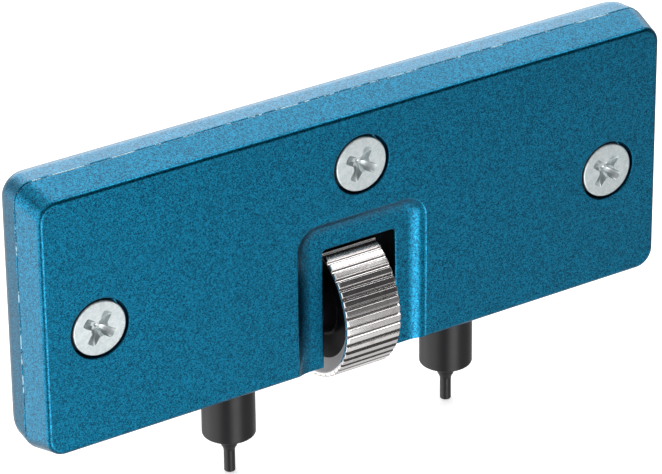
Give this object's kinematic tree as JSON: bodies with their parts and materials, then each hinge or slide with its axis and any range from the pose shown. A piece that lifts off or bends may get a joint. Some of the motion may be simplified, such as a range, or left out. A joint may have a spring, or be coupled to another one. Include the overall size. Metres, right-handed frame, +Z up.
{
  "type": "case back opener",
  "caption": "Pocket watch-case opener: flat two-part metal body, knurled thumbwheel, and pin posts on a right- and left-hand spindle that part or close as the wheel turns.",
  "frame": {"origin": "on the spindle's vertical plane, midway between the ends of the body, level with the pin tips", "axes": "+X along the body towards its right end, -Y out of the front face with the screw heads, +Z up from the pins through the body"},
  "size_m": [0.088, 0.0186, 0.0472],
  "materials": {
    "blue_paint": "satin metallic-fleck paint",
    "zinc": "bright zinc plate",
    "nickel": "bright nickel plate",
    "black_oxide": "satin black oxide",
    "bright_steel": "turned",
    "bronze": "sintered",
    "brass": "machined"
  },
  "bodies": {
    "case": {"front_cover": "blue_paint", "rear_cover": "blue_paint", "cover_screw_left": "zinc", "cover_screw_middle": "zinc", "cover_screw_right": "zinc", "inner_bush_left": "bronze", "inner_bush_right": "bronze", "end_bush_left": "bronze", "end_bush_right": "bronze"},
    "thumbwheel": {"wheel_rim": "nickel", "wheel_hub": "black_oxide", "wheel_pin": "bright_steel", "spindle": "bright_steel", "thrust_washer_left": "bright_steel", "thrust_washer_right": "bright_steel"},
    "left_jaw": {"left_jaw_block": "brass", "left_post": "black_oxide"},
    "right_jaw": {"right_jaw_block": "brass", "right_post": "black_oxide"}
  },
  "joints": [
    {"name": "wheel_turn", "type": "hinge", "parent": "case", "child": "thumbwheel", "pos_m": [0, 0, 0.01955], "axis": [1, 0, 0], "range_deg": [-2108, 8588]},
    {"name": "left_jaw_slide", "type": "slide", "parent": "case", "child": "left_jaw", "axis": [1, 0, 0], "range_m": [-0.0167, 0.0041]},
    {"name": "right_jaw_slide", "type": "slide", "parent": "case", "child": "right_jaw", "axis": [1, 0, 0], "range_m": [-0.0041, 0.0167]}
  ],
  "couplings": [
    {"joint": "left_jaw_slide", "follows": "wheel_turn", "m_per_rad": -0.00011141},
    {"joint": "right_jaw_slide", "follows": "wheel_turn", "m_per_rad": 0.00011141}
  ]
}
